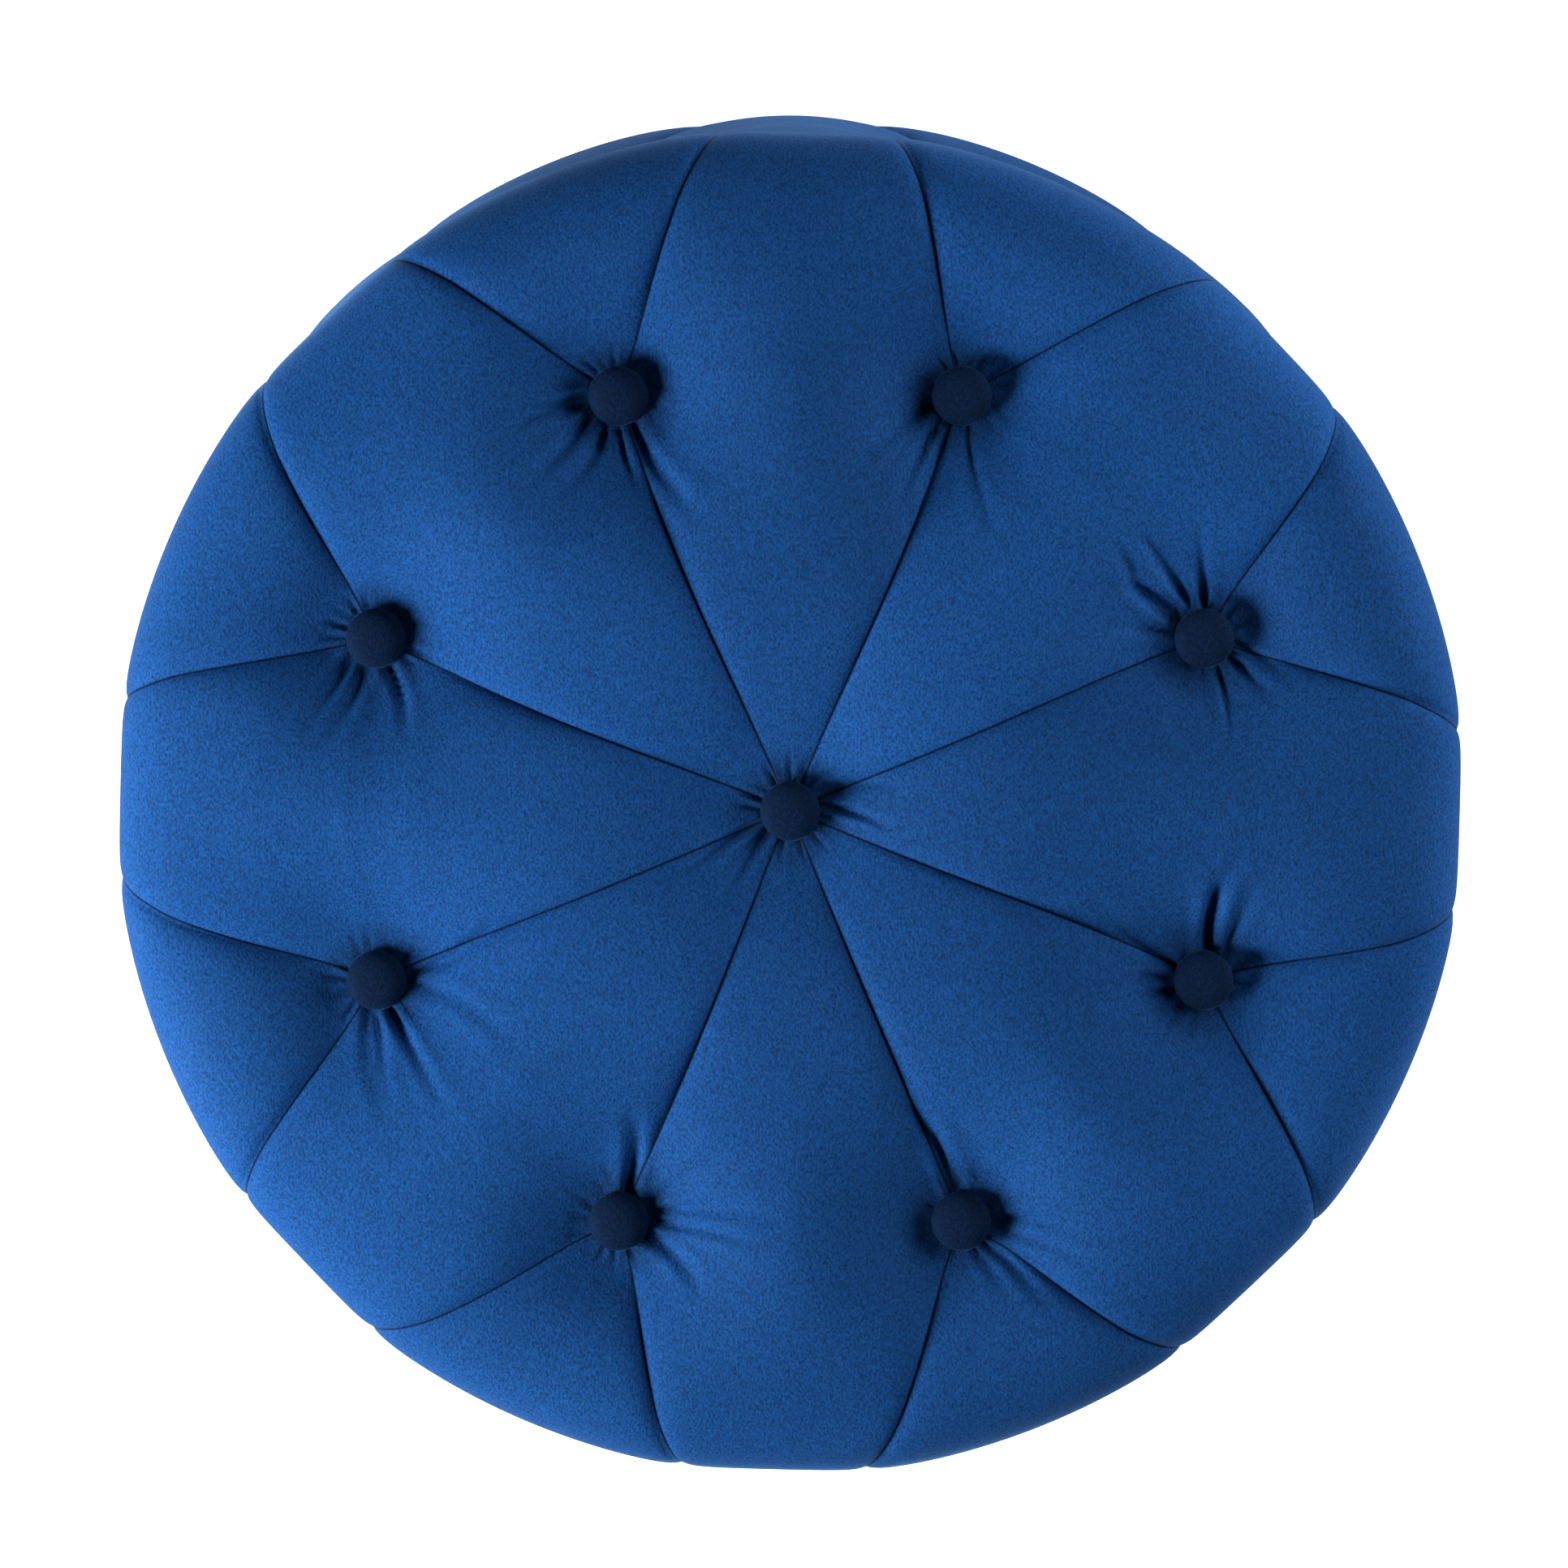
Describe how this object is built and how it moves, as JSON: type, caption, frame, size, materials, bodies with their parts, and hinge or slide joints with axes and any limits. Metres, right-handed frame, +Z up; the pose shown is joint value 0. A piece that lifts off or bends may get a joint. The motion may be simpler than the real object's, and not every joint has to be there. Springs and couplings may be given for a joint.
{
  "type": "storage ottoman",
  "caption": "Round button-tufted velvet storage ottoman: a padded drum on short feet, with a hinged padded lid over a lined compartment.",
  "frame": {"origin": "on the floor under the drum's centre", "axes": "+Z up, +Y towards the hinges, -Y towards the front edge that a hand lifts"},
  "size_m": [0.54, 0.54, 0.4282],
  "materials": {
    "velvet": "royal-blue cut-pile velvet, short pile with a soft directional sheen",
    "foam": "cream open-cell polyurethane foam",
    "plywood": "sanded birch plywood, unfinished",
    "hardboard": "bent brown hardboard, unfinished",
    "pine": "planed pine, unfinished",
    "grey_board": "grey pressed paperboard",
    "black_cloth": "black spun-bonded polypropylene cloth",
    "black_plastic": "black moulded polypropylene, fine texture",
    "zinc_steel": "bright zinc-plated pressed steel"
  },
  "bodies": {
    "drum": {"base_board": "plywood", "top_ring_1": "plywood", "top_ring_2": "plywood", "top_ring_3": "plywood", "top_ring_4": "plywood", "drum_wall": "hardboard", "batten_1": "pine", "batten_2": "pine", "batten_3": "pine", "batten_4": "pine", "batten_5": "pine", "batten_6": "pine", "batten_7": "pine", "batten_8": "pine", "liner_board": "grey_board", "storage_lining": "black_cloth", "dust_cover": "black_cloth", "drum_foam": "foam", "drum_cover": "velvet", "drum_button_1": "velvet", "drum_button_2": "velvet", "drum_button_3": "velvet", "drum_button_4": "velvet", "drum_button_5": "velvet", "drum_button_6": "velvet", "drum_button_7": "velvet", "drum_button_8": "velvet", "foot_1": "black_plastic", "foot_bolt_1": "zinc_steel", "t_nut_1": "zinc_steel", "foot_2": "black_plastic", "foot_bolt_2": "zinc_steel", "t_nut_2": "zinc_steel", "foot_3": "black_plastic", "foot_bolt_3": "zinc_steel", "t_nut_3": "zinc_steel", "foot_4": "black_plastic", "foot_bolt_4": "zinc_steel", "t_nut_4": "zinc_steel", "hinge_left_drum_leaf": "zinc_steel", "hinge_left_pin": "zinc_steel", "hinge_right_drum_leaf": "zinc_steel", "hinge_right_pin": "zinc_steel"},
    "lid": {"lid_board": "plywood", "lid_lining": "black_cloth", "lid_foam": "foam", "lid_cover": "velvet", "lid_button_centre": "velvet", "lid_button_1": "velvet", "lid_button_2": "velvet", "lid_button_3": "velvet", "lid_button_4": "velvet", "lid_button_5": "velvet", "lid_button_6": "velvet", "lid_button_7": "velvet", "lid_button_8": "velvet", "hinge_left_lid_leaf": "zinc_steel", "hinge_right_lid_leaf": "zinc_steel"}
  },
  "joints": [
    {"name": "lid_hinge", "type": "hinge", "parent": "drum", "child": "lid", "pos_m": [0, 0.26215, 0.32235], "axis": [-1, 0, 0], "range_deg": [0, 100]}
  ]
}
